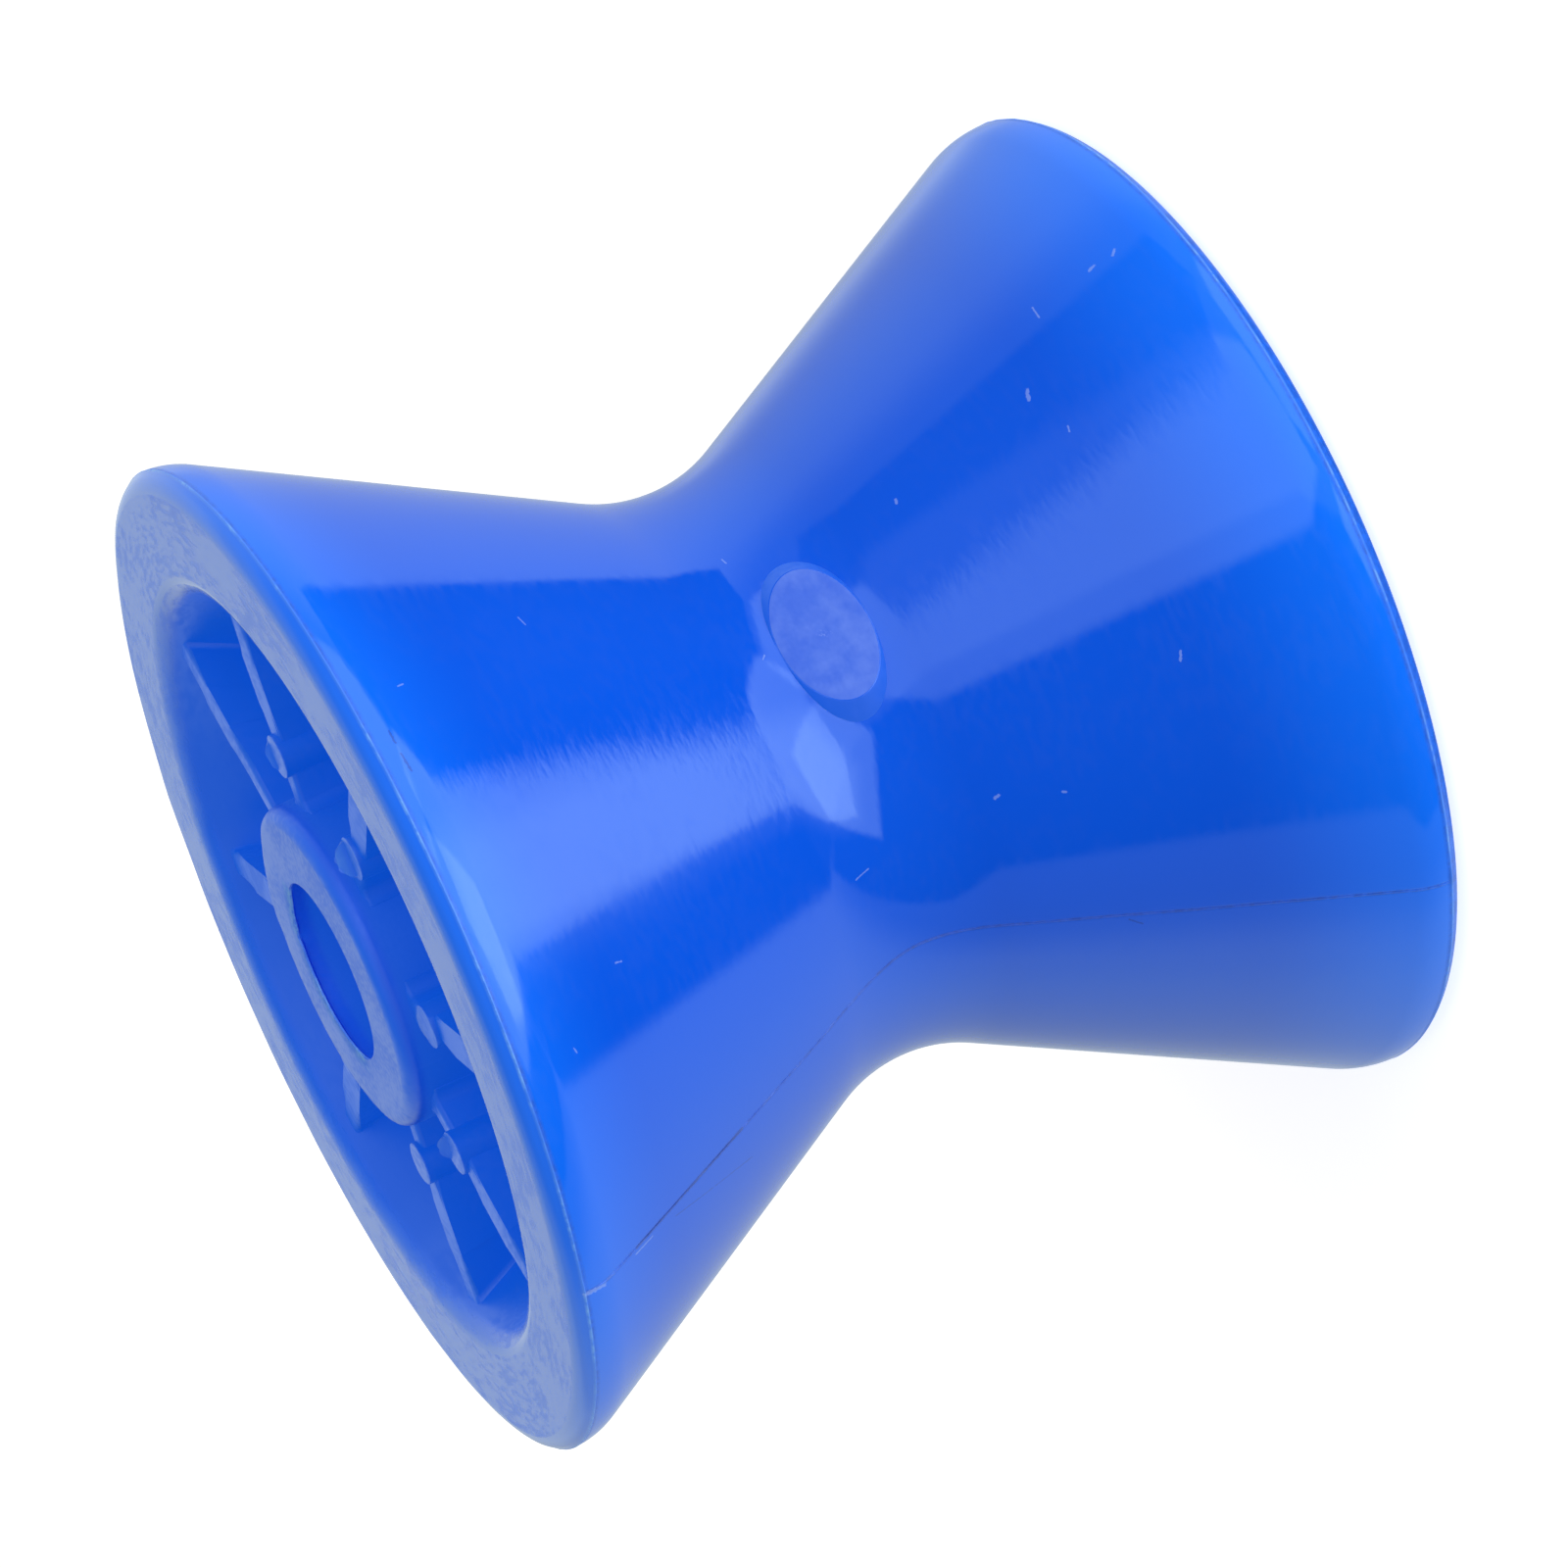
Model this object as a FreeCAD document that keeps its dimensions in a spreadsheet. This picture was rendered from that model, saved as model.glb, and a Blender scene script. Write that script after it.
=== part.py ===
# Moulded V roller for a boat trailer: one piece of plastic, in millimetres.
# The roller's axis is Z, the origin is on the bore axis half way between the rims,
# and +X points along one of the two mould parting lines.
import FreeCAD, Part
import os
from math import sin, cos, tan, asin, atan2, radians, hypot, degrees
import Sketcher

vec = FreeCAD.Vector

doc = FreeCAD.newDocument("VRoller")

# Driving sizes

sizes = {
    # overall form
    "width": 75.0,             # rim face to rim face
    "rim_radius": 40.2,        # widest circle, on the rim's parting line
    "throat_radius": 23.8,     # narrowest circle, half way along
    "throat_round": 14.25,     # concave arc of the throat, tangent to both cones
    "rim_round": 6.0,          # convex arc from the cone to the widest circle
    "parting_depth": 1.15,     # widest circle to the rim face
    "end_corner": 1.85,        # arc from the rim face to the parting line
    # end cavities
    "mouth_radius": 32.4,      # inner edge of the flat rim face
    "mouth_round": 2.4,        # soft edge where the rim face turns into the cavity
    "cavity_depth": 24.0,      # rim face to cavity floor
    "floor_round": 1.2,        # fillets along the cavity floor
    # hub
    "bore_radius": 7.27,       # running hole for the trailer's shaft
    "hub_radius": 13.2,        # outside of the hub at its face
    "hub_round": 1.2,          # rounded edge of the hub face
    "hub_stand": 0.4,          # hub face stands this far past the rim face
    "hub_draft": 1.0,          # degrees that the hub wall leans for the mould
    # ribs
    "rib_count": 8,
    "rib_phase": 22.5,         # degrees from +X to the first rib
    "rib_thickness": 2.2,
    "rib_drop": 0.25,          # foot of the mouth's soft edge to rib top
    "rib_round": 0.4,          # rounded top edges of the ribs
    # ejector pads on the rib tops
    "bare_ribs": 1,            # ribs without a pad
    "first_pad_rib": 4,        # ribs between +X and the first rib with a pad
    "pad_radius": 1.75,
    "pad_ring": 17.5,          # roller axis to pad axis
    "pad_stand": 0.4,          # pad top above rib top
    # gate land on the throat
    "gate_angle": 63.5,        # degrees from +X
    "gate_offset": 1.5,        # below the roller's middle plane
    "gate_long": 5.65,         # half length of the oval land, round the roller
    "gate_short": 3.6,         # half width, along the roller
    "gate_stand": 0.5,         # flat land above the throat's narrowest line
    "gate_depth": 3.0,         # how far the land's root reaches into the wall
    "gate_slope": 40.0,        # degrees that the land's side leans outwards
}

sheet = doc.addObject("Spreadsheet::Sheet", "Sizes")
for row, (alias, value) in enumerate(sizes.items(), start=1):
    sheet.set("A%d" % row, alias)
    sheet.set("B%d" % row, str(value))
    sheet.setAlias("B%d" % row, alias)
doc.recompute()


def size(alias):
    return float(sheet.get(alias))


# Helpers for sketches

def originPart(body, role):
    return next(item for item in body.Origin.OriginFeatures if item.Role == role)


def newSketch(body, role, name):
    sketch = body.newObject("Sketcher::SketchObject", name)
    sketch.AttachmentSupport = [(originPart(body, role), "")]
    sketch.MapMode = "FlatFace"
    return sketch


def addLine(sketch, start, end, construction=False):
    return sketch.addGeometry(Part.LineSegment(vec(*start, 0), vec(*end, 0)), construction)


def addArc(sketch, centre, radius, fromDeg, toDeg):
    circle = Part.Circle(vec(*centre, 0), vec(0, 0, 1), radius)
    return sketch.addGeometry(Part.ArcOfCircle(circle, radians(fromDeg), radians(toDeg)), False)


def fix(sketch, name, expression, *constraint):
    # A named dimension that follows the sheet
    index = sketch.addConstraint(Sketcher.Constraint(*constraint))
    sketch.renameConstraint(index, name)
    sketch.setExpression("Constraints." + name, expression)


def measure(sketch, name, *constraint):
    # A named dimension that only reports, for other features to follow
    index = sketch.addConstraint(Sketcher.Constraint(*constraint))
    sketch.renameConstraint(index, name)
    sketch.setDriving(index, False)


def relate(sketch, *constraint):
    sketch.addConstraint(Sketcher.Constraint(*constraint))


def turnAbout(sketch, alias):
    # Swings an upright sketch round the roller's axis by a named angle
    sketch.AttachmentOffset = FreeCAD.Placement(
        vec(0, 0, 0), FreeCAD.Rotation(vec(0, 1, 0), size(alias)))
    sketch.setExpression("AttachmentOffset.Rotation.Angle", "Sizes." + alias)


# Point positions in the sketcher: start, end and centre of a curve, and the sketch's own axes
START, END, CENTRE = 1, 2, 3
AXIS_X, AXIS_Y = -1, -2
ORIGIN = (AXIS_X, START)

roller = doc.addObject("PartDesign::Body", "Roller")
roller.Label = "roller"


# Half section, from the middle plane up to one end

halfWidth = size("width") / 2
hubTop = halfWidth + size("hub_stand")
floorZ = halfWidth - size("cavity_depth")
boreR = size("bore_radius")
hubR = size("hub_radius")
hubRound = size("hub_round")
floorRound = size("floor_round")
mouthR = size("mouth_radius")
mouthRound = size("mouth_round")
rimR = size("rim_radius")
rimRound = size("rim_round")
partingZ = halfWidth - size("parting_depth")
endCorner = size("end_corner")
throatR = size("throat_radius")
throatRound = size("throat_round")
hubDraft = size("hub_draft")

# The cone is the common tangent of the throat arc and the rim arc
throatCentre = (throatR + throatRound, 0)
rimCentre = (rimR - rimRound, partingZ)
spanR = throatCentre[0] - rimCentre[0]
spanZ = rimCentre[1] - throatCentre[1]
coneDeg = degrees(asin((throatRound + rimRound) / hypot(spanR, spanZ)) - asin(spanR / hypot(spanR, spanZ)))
coneOut = (cos(radians(coneDeg)), -sin(radians(coneDeg)))
coneUp = (sin(radians(coneDeg)), cos(radians(coneDeg)))

coneTop = (rimCentre[0] + rimRound * coneOut[0], rimCentre[1] + rimRound * coneOut[1])
coneFoot = (throatCentre[0] - throatRound * coneOut[0], -throatRound * coneOut[1])
mouthCentre = (mouthR, halfWidth - mouthRound)
wallTop = (mouthCentre[0] - mouthRound * coneOut[0], mouthCentre[1] - mouthRound * coneOut[1])
floorArcRise = floorZ + floorRound - floorRound * sin(radians(coneDeg))
wallRun = (wallTop[1] - floorArcRise) / coneUp[1]
wallFoot = (wallTop[0] - wallRun * coneUp[0], floorArcRise)
floorOuter = (wallFoot[0] - floorRound * coneOut[0], floorZ + floorRound)
hubFootR = hubR + (hubTop - floorZ) * tan(radians(hubDraft))
hubTopZ = hubTop - hubRound
cornerRun = (endCorner ** 2 - (endCorner - size("parting_depth")) ** 2) ** 0.5
cornerCentre = (rimR - cornerRun, halfWidth - endCorner)
cornerDeg = degrees(asin((partingZ - cornerCentre[1]) / endCorner))

section = newSketch(roller, "XZ_Plane", "HalfSection")
boreWall = addLine(section, (boreR, 0), (boreR, hubTop))
hubFace = addLine(section, (boreR, hubTop), (hubR - hubRound, hubTop))
hubEdge = addArc(section, (hubR - hubRound, hubTopZ), hubRound, hubDraft, 90)
hubWall = addLine(section, (hubFootR, floorZ + floorRound), (hubR, hubTopZ))
hubFoot = addArc(section, (hubFootR + floorRound, floorZ + floorRound), floorRound, 180 + hubDraft, 270)
floor = addLine(section, (hubFootR + floorRound, floorZ), (floorOuter[0], floorZ))
wallFootArc = addArc(section, floorOuter, floorRound, 270, 360 - coneDeg)
innerWall = addLine(section, wallFoot, wallTop)
mouthEdge = addArc(section, mouthCentre, mouthRound, 90, 180 - coneDeg)
rimFace = addLine(section, (mouthR, halfWidth), (cornerCentre[0], halfWidth))
rimCorner = addArc(section, cornerCentre, endCorner, cornerDeg, 90)
rimArc = addArc(section, rimCentre, rimRound, -coneDeg, 0)
cone = addLine(section, coneFoot, coneTop)
throatArc = addArc(section, throatCentre, throatRound, 180 - coneDeg, 180)
middle = addLine(section, (throatR, 0), (boreR, 0))

relate(section, "Coincident", boreWall, END, hubFace, START)
relate(section, "Tangent", hubFace, END, hubEdge, END)
relate(section, "Tangent", hubEdge, START, hubWall, END)
relate(section, "Tangent", hubWall, START, hubFoot, START)
relate(section, "Tangent", hubFoot, END, floor, START)
relate(section, "Tangent", floor, END, wallFootArc, START)
relate(section, "Tangent", wallFootArc, END, innerWall, START)
relate(section, "Tangent", innerWall, END, mouthEdge, END)
relate(section, "Tangent", mouthEdge, START, rimFace, START)
relate(section, "Tangent", rimFace, END, rimCorner, END)
relate(section, "Coincident", rimCorner, START, rimArc, END)
relate(section, "Horizontal", rimArc, CENTRE, rimArc, END)
relate(section, "Tangent", rimArc, START, cone, END)
relate(section, "Tangent", cone, START, throatArc, START)
relate(section, "PointOnObject", throatArc, CENTRE, AXIS_X)
relate(section, "PointOnObject", throatArc, END, AXIS_X)
relate(section, "Coincident", throatArc, END, middle, START)
relate(section, "Coincident", middle, END, boreWall, START)
relate(section, "PointOnObject", boreWall, START, AXIS_X)
relate(section, "Vertical", boreWall)
relate(section, "Horizontal", hubFace)
relate(section, "Horizontal", floor)
relate(section, "Horizontal", rimFace)
relate(section, "Parallel", innerWall, cone)

fix(section, "bore", "Sizes.bore_radius", "DistanceX", *ORIGIN, boreWall, START, boreR)
fix(section, "hubTop", "Sizes.width / 2 + Sizes.hub_stand", "DistanceY", *ORIGIN, hubFace, START, hubTop)
fix(section, "hubSide", "Sizes.hub_radius", "DistanceX", *ORIGIN, hubWall, END, hubR)
fix(section, "hubLean", "90 + Sizes.hub_draft", "Angle", hubWall, radians(90 + hubDraft))
fix(section, "hubEdge", "Sizes.hub_round", "Radius", hubEdge, hubRound)
fix(section, "floorHeight", "Sizes.width / 2 - Sizes.cavity_depth",
    "DistanceY", *ORIGIN, floor, START, floorZ)
fix(section, "hubFoot", "Sizes.floor_round", "Radius", hubFoot, floorRound)
fix(section, "wallFoot", "Sizes.floor_round", "Radius", wallFootArc, floorRound)
fix(section, "mouth", "Sizes.mouth_radius", "DistanceX", *ORIGIN, rimFace, START, mouthR)
fix(section, "mouthEdge", "Sizes.mouth_round", "Radius", mouthEdge, mouthRound)
fix(section, "rimHeight", "Sizes.width / 2", "DistanceY", *ORIGIN, rimFace, START, halfWidth)
fix(section, "corner", "Sizes.end_corner", "Radius", rimCorner, endCorner)
fix(section, "partingHeight", "Sizes.width / 2 - Sizes.parting_depth",
    "DistanceY", *ORIGIN, rimArc, END, partingZ)
fix(section, "rim", "Sizes.rim_radius", "DistanceX", *ORIGIN, rimArc, END, rimR)
fix(section, "rimArc", "Sizes.rim_round", "Radius", rimArc, rimRound)
fix(section, "throat", "Sizes.throat_radius", "DistanceX", *ORIGIN, throatArc, END, throatR)
fix(section, "throatArc", "Sizes.throat_round", "Radius", throatArc, throatRound)
measure(section, "wallTop", "DistanceY", *ORIGIN, innerWall, END, wallTop[1])

halfBody = roller.newObject("PartDesign::Revolution", "HalfBody")
halfBody.Profile = section
halfBody.ReferenceAxis = (section, ["V_Axis"])
halfBody.Angle = 360
doc.recompute()


# Ribs from hub to rim wall, level along the top

ribTop = wallTop[1] - size("rib_drop")
ribLow = floorZ - floorRound
ribInner = (boreR + hubR) / 2

ribSketch = newSketch(roller, "XZ_Plane", "RibSection")
turnAbout(ribSketch, "rib_phase")
ribEdge = addLine(ribSketch, (ribInner, ribTop), (mouthR, ribTop))
ribOuter = addLine(ribSketch, (mouthR, ribTop), (throatR, ribLow))
ribFoot = addLine(ribSketch, (throatR, ribLow), (ribInner, ribLow))
ribRoot = addLine(ribSketch, (ribInner, ribLow), (ribInner, ribTop))
relate(ribSketch, "Coincident", ribEdge, END, ribOuter, START)
relate(ribSketch, "Coincident", ribOuter, END, ribFoot, START)
relate(ribSketch, "Coincident", ribFoot, END, ribRoot, START)
relate(ribSketch, "Coincident", ribRoot, END, ribEdge, START)
relate(ribSketch, "Horizontal", ribEdge)
relate(ribSketch, "Horizontal", ribFoot)
relate(ribSketch, "Vertical", ribRoot)
fix(ribSketch, "inner", "(Sizes.bore_radius + Sizes.hub_radius) / 2",
    "DistanceX", *ORIGIN, ribRoot, START, ribInner)
fix(ribSketch, "outer", "Sizes.mouth_radius", "DistanceX", *ORIGIN, ribEdge, END, mouthR)
fix(ribSketch, "footOuter", "Sizes.throat_radius", "DistanceX", *ORIGIN, ribFoot, START, throatR)
fix(ribSketch, "top", "HalfSection.Constraints.wallTop - Sizes.rib_drop * 1mm",
    "DistanceY", *ORIGIN, ribEdge, START, ribTop)
fix(ribSketch, "foot", "Sizes.width / 2 - Sizes.cavity_depth - Sizes.floor_round",
    "DistanceY", *ORIGIN, ribFoot, START, ribLow)

rib = roller.newObject("PartDesign::Pad", "Rib")
rib.Profile = ribSketch
rib.SideType = "Symmetric"
rib.setExpression("Length", "Sizes.rib_thickness")
doc.recompute()

ribs = roller.newObject("PartDesign::PolarPattern", "Ribs")
ribs.Originals = [rib]
ribs.Axis = (originPart(roller, "Z_Axis"), [""])
ribs.Angle = 360
ribs.setExpression("Occurrences", "Sizes.rib_count")
roller.Tip = ribs
doc.recompute()


# Ejector pads: round posts on the ribs, a little taller than they are

padTop = ribTop + size("pad_stand")
padPhase = size("rib_phase") + size("first_pad_rib") * 360 / size("rib_count")
padSketch = newSketch(roller, "XY_Plane", "PadCircle")
padSketch.AttachmentOffset = FreeCAD.Placement(
    vec(0, 0, padTop), FreeCAD.Rotation(vec(0, 0, 1), padPhase))
padSketch.setExpression("AttachmentOffset.Base.z", "RibSection.Constraints.top + Sizes.pad_stand * 1mm")
padSketch.setExpression("AttachmentOffset.Rotation.Angle",
                        "Sizes.rib_phase + Sizes.first_pad_rib * 360 / Sizes.rib_count")
padShape = Part.Circle(vec(size("pad_ring"), 0, 0), vec(0, 0, 1), size("pad_radius"))
padCircle = padSketch.addGeometry(padShape, False)
relate(padSketch, "PointOnObject", padCircle, CENTRE, AXIS_X)
fix(padSketch, "ring", "Sizes.pad_ring", "DistanceX", *ORIGIN, padCircle, CENTRE, size("pad_ring"))
fix(padSketch, "pad", "Sizes.pad_radius", "Radius", padCircle, size("pad_radius"))

padPost = roller.newObject("PartDesign::Pad", "PadPost")
padPost.Profile = padSketch
padPost.Reversed = True
padPost.setExpression("Length",
                      "RibSection.Constraints.top - RibSection.Constraints.foot + Sizes.pad_stand * 1mm")
doc.recompute()

padPosts = roller.newObject("PartDesign::PolarPattern", "PadPosts")
padPosts.Originals = [padPost]
padPosts.Axis = (originPart(roller, "Z_Axis"), [""])
padPosts.setExpression("Angle", "(Sizes.rib_count - Sizes.bare_ribs - 1) * 360 / Sizes.rib_count")
padPosts.setExpression("Occurrences", "Sizes.rib_count - Sizes.bare_ribs")
roller.Tip = padPosts
doc.recompute()


# Rounded top edges of the ribs

def isRibTopEdge(edge):
    level = all(abs(vertex.Z - ribTop) < 1e-4 for vertex in edge.Vertexes)
    return isinstance(edge.Curve, Part.Line) and level


topEdges = ["Edge%d" % i for i, edge in enumerate(padPosts.Shape.Edges, start=1) if isRibTopEdge(edge)]
ribEdges = roller.newObject("PartDesign::Fillet", "RibEdges")
ribEdges.Base = (padPosts, topEdges)
ribEdges.setExpression("Radius", "Sizes.rib_round")
roller.Tip = ribEdges
doc.recompute()


# The other end mirrors this one

bothEnds = roller.newObject("PartDesign::Mirrored", "BothEnds")
bothEnds.TransformMode = "Whole shape"
bothEnds.MirrorPlane = (originPart(roller, "XY_Plane"), [""])
roller.Tip = bothEnds
doc.recompute()


# Gate land: a flat oval on the throat, square to the surface there, with sides that lean outwards

gateTilt = degrees(asin(size("gate_offset") / throatRound))


def addOval(name, depth, depthTerm, spread, spreadTerm):
    # An oval at a depth under the land and this much wider than it, its long way round the roller
    reach = throatRound - size("gate_stand") + depth
    radial = throatCentre[0] - reach * cos(radians(gateTilt))
    turn = radians(size("gate_angle"))
    around = vec(-sin(turn), cos(turn), 0)
    sideways = vec(cos(turn), sin(turn), 0)
    sketch = newSketch(roller, "XY_Plane", name)
    sketch.AttachmentOffset = FreeCAD.Placement(
        vec(radial * cos(turn), radial * sin(turn), -reach * sin(radians(gateTilt))),
        FreeCAD.Rotation(around, 90 - gateTilt))
    oval = sketch.addGeometry(Part.Ellipse(
        around * (size("gate_long") + spread),
        sideways * (size("gate_short") + spread), vec(0, 0, 0)), False)
    sketch.exposeInternalGeometry(oval)
    longLine = oval + 1
    shortLine = oval + 2
    relate(sketch, "Coincident", oval, CENTRE, *ORIGIN)
    # its place follows the sheet
    lean = "(Sizes.gate_offset / Sizes.throat_round)"
    reachTerm = "(Sizes.throat_round - Sizes.gate_stand%s)" % depthTerm
    radialTerm = "(Sizes.throat_radius + Sizes.throat_round - %s * sqrt(1 - %s ^ 2))" % (reachTerm, lean)
    sketch.setExpression("AttachmentOffset.Base.x", radialTerm + " * cos(Sizes.gate_angle)")
    sketch.setExpression("AttachmentOffset.Base.y", radialTerm + " * sin(Sizes.gate_angle)")
    sketch.setExpression("AttachmentOffset.Base.z", "-%s * %s" % (reachTerm, lean))
    sketch.setExpression("AttachmentOffset.Rotation.Axis.x", "-sin(Sizes.gate_angle)")
    sketch.setExpression("AttachmentOffset.Rotation.Axis.y", "cos(Sizes.gate_angle)")
    sketch.setExpression("AttachmentOffset.Rotation.Angle", "acos%s" % lean)
    # and so do its direction and its two widths
    line = sketch.Geometry[longLine]
    angle = atan2(line.EndPoint.y - line.StartPoint.y, line.EndPoint.x - line.StartPoint.x)
    quarter = 90 if sin(angle - turn) > 0 else -90
    fix(sketch, "turn", "Sizes.gate_angle %+d" % quarter, "Angle", longLine, angle)
    fix(sketch, "long", "2 * (Sizes.gate_long%s)" % spreadTerm,
        "Distance", longLine, 2 * (size("gate_long") + spread))
    fix(sketch, "short", "2 * (Sizes.gate_short%s)" % spreadTerm,
        "Distance", shortLine, 2 * (size("gate_short") + spread))
    return sketch


landSketch = addOval("GateOval", 0, "", 0, "")
rootSketch = addOval("GateRoot", size("gate_depth"), " + Sizes.gate_depth",
                     size("gate_depth") * tan(radians(size("gate_slope"))),
                     " + Sizes.gate_depth * tan(Sizes.gate_slope)")
doc.recompute()

gateLand = roller.newObject("PartDesign::AdditiveLoft", "GateLand")
gateLand.Profile = landSketch
gateLand.Sections = [rootSketch]
gateLand.Ruled = True
roller.Tip = gateLand
doc.recompute()


# Checks, then the piece is written to its own file

for item in doc.Objects:
    if "Invalid" in item.State or "Error" in item.State:
        raise RuntimeError("%s did not build: %s" % (item.Name, item.State))

os.makedirs("parts", exist_ok=True)
for body in (roller,):
    if body.Shape.isNull() or not body.Shape.isValid() or len(body.Shape.Solids) != 1:
        raise RuntimeError("%s is not one sound solid" % body.Label)
    body.Shape.exportStep("parts/%s.step" % body.Label)
    box = body.Shape.optimalBoundingBox()
    print("%s: %.2f x %.2f x %.2f mm, %.1f cm3" % (
        body.Label, box.XLength, box.YLength, box.ZLength, body.Shape.Volume / 1000))
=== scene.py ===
from math import asin, atan2, cos, degrees, exp, hypot, radians, sin, tan
import bmesh
import bpy
from mathutils import Matrix, Vector, noise


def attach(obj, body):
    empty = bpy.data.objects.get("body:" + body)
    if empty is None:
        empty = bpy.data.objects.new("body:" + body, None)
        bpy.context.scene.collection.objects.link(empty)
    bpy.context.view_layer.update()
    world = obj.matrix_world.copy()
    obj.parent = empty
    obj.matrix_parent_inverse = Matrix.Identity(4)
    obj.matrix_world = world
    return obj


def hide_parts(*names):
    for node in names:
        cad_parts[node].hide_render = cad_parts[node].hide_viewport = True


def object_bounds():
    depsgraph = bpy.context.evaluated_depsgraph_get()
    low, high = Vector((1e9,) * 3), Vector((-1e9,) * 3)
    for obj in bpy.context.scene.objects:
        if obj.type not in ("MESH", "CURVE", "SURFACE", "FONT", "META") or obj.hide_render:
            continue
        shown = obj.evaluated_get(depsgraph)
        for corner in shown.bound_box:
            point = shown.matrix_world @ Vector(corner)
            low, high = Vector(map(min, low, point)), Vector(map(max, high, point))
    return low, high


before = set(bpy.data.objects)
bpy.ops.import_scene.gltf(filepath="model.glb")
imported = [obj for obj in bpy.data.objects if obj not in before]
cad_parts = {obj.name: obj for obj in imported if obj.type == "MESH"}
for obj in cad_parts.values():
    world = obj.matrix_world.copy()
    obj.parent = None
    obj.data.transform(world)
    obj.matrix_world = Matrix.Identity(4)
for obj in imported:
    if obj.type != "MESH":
        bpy.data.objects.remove(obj)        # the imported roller: body "root", node "roller"
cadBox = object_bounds()
print("frame loaded:", sorted(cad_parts))

mm = 0.001
scene = bpy.context.scene
scene.view_settings.view_transform = "Standard"

# Camera: the roller stands on its end, so the photograph's tilt is the camera's roll
shot = {
    "place": (0.30655, 0.29981, 0.12370),
    "right": (0.46621, -0.11139, -0.87764),
    "up": (-0.55967, 0.73117, -0.39010),
    "lens": 132.47,
}


def makeCamera():
    right = Vector(shot["right"]).normalized()
    back = right.cross(Vector(shot["up"])).normalized()
    up = back.cross(right)
    data = bpy.data.cameras.new("shotCamera")
    data.lens = shot["lens"]
    data.sensor_width = 36.0
    data.clip_start = 0.01
    camera = bpy.data.objects.new("shotCamera", data)
    camera.matrix_world = Matrix.LocRotScale(
        Vector(shot["place"]), Matrix((right, up, back)).transposed(), None)
    scene.collection.objects.link(camera)
    scene.camera = camera
    return right, up, back


camRight, camUp, camBack = makeCamera()
print("camera placed")


# Node helpers

def addNode(tree, kind, **settings):
    node = tree.nodes.new(kind)
    for name, value in settings.items():
        setattr(node, name, value)
    return node


def feed(tree, socket, value):
    # A link when the value is a socket, otherwise a plain number or colour
    if isinstance(value, bpy.types.NodeSocket):
        tree.links.new(value, socket)
    elif value is not None:
        socket.default_value = value


def doMath(tree, operation, first, second=None, third=None, clamp=False):
    node = addNode(tree, "ShaderNodeMath", operation=operation, use_clamp=clamp)
    for socket, value in zip(node.inputs, (first, second, third)):
        feed(tree, socket, value)
    return node.outputs[0]


def ramp(tree, value, low, high, toLow=0.0, toHigh=1.0, smooth=True):
    node = addNode(tree, "ShaderNodeMapRange", interpolation_type="SMOOTHSTEP" if smooth else "LINEAR")
    for label, entry in (("Value", value), ("From Min", low), ("From Max", high), ("To Min", toLow),
                         ("To Max", toHigh)):
        feed(tree, node.inputs[label], entry)
    return node.outputs[0]


def dotWith(tree, vector, direction):
    node = addNode(tree, "ShaderNodeVectorMath", operation="DOT_PRODUCT")
    feed(tree, node.inputs[0], vector)
    feed(tree, node.inputs[1], tuple(direction))
    return node.outputs["Value"]


def mixColour(tree, factor, first, second):
    node = addNode(tree, "ShaderNodeMix", data_type="RGBA")
    feed(tree, node.inputs[0], factor)
    feed(tree, node.inputs[6], first)
    feed(tree, node.inputs[7], second)
    return node.outputs[2]


# Studio: white all round to the eye, dim in front and pale behind in the plastic's reflections

studio = {
    "ambient": 0.77,          # light on diffuse surfaces from all round
    "bright": (0.68, 0.68, 0.70),            # brightest side of that light: right, up, towards the camera
    "slant": 1.05,            # how much brighter that side is
    "frontGlow": 0.36,        # what the gloss sees on the camera's side
    "backGlow": 0.80,         # beside and behind the roller
    "farGlow": 0.52,          # straight behind it
    "sideSpan": (0.2, -0.2),                 # where the first turns into the second: cosine to the camera
    "farSpan": (-0.35, -1.0),                # and the second into the third
    "coolTint": (1.0, 1.42, 1.50, 1.0),      # windows and room
    "paleTint": (0.97, 1.12, 1.24, 1.0),     # backdrop
    "keyPower": 0.6,          # watts, soft lamp over the roller
    "keyPlace": (0.15, 0.35, 0.62),
    "keyWidth": 0.6,
    "floorSize": 3.0,
    "floorColour": (0.80, 0.80, 0.80, 1.0),
    "floorLift": 0.74,        # white added to the floor for the eye alone
}

# Windows in the reflections: brightness, softness, then corners as angles from the camera, to the side
# and upward
windows = (
    (1.15, 0.02, (40, 14), (42, 46), (66, 56), (88.5, 43), (88.5, 17), (68, 2), (55, -4)),
    (0.90, 0.12, (40, 6), (50, 34), (88, 34), (88, 17), (66, 0), (55, -4)),
    (1.30, 0.03, (20, 8), (33, 33), (72, 26), (70, 4), (52, -17)),
    (0.90, 0.03, (-39, 33), (-7, 46), (6, 34), (15, 20), (-21, -9), (-29, 5)),
    (1.00, 0.03, (-16, 58), (-8, 76), (47, 75), (58, 52), (30, 22), (9, 32)),
    (0.24, 0.12, (-168, -45), (-168, 24), (-118, 24), (-118, -45)),
)
# Dark parts of the room: share of the glow that they hold back, softness, corners
screens = (
    (0.92, 0.03, (-25, 0), (31, 12), (60, 6), (90, -5), (85, -33), (50, -58), (-15, -69)),
    (0.90, 0.03, (70, 2), (84, 18), (95, 16), (95, -4), (92, -4)),
    (0.93, 0.03, (88.5, -3), (88.5, 48), (146, 48), (150, -3)),
    (0.97, 0.02, (62, 56), (61, 76), (145, 80), (146, 44), (88.5, 41)),
    (0.75, 0.03, (-74, 34), (-65, 60), (-30, 60), (-37, 31)),
)


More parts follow.
